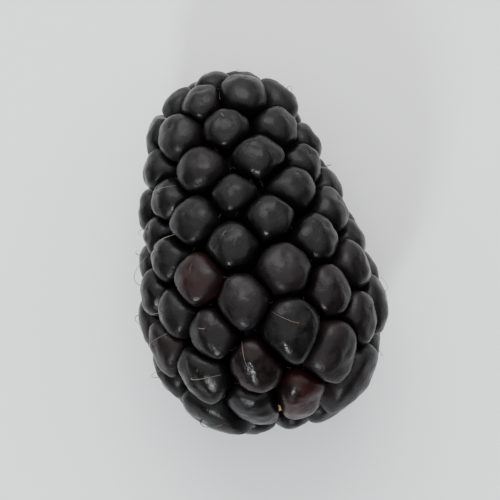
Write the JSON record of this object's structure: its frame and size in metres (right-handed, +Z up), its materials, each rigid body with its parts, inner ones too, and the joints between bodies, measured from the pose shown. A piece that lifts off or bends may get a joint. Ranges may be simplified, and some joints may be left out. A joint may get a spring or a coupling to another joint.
{
  "type": "bramble berry",
  "caption": "Ripe bramble berry picked without its stalk: a tapering head of packed drupelets lying on its side, with a pale receptacle at the stem end.",
  "frame": {"origin": "on the surface that the berry lies on, under the middle of its bounding box", "axes": "+Z up, +Y along the berry towards its tip, with the axis leaning 9.4 degrees down at the tip; the stem end faces -Y"},
  "size_m": [0.0206, 0.0304, 0.0201],
  "materials": {
    "drupelet_skin": "satin",
    "receptacle_pith": "matte"
  },
  "bodies": {
    "root": {"drupelets": "drupelet_skin", "receptacle": "receptacle_pith"}
  },
  "joints": []
}
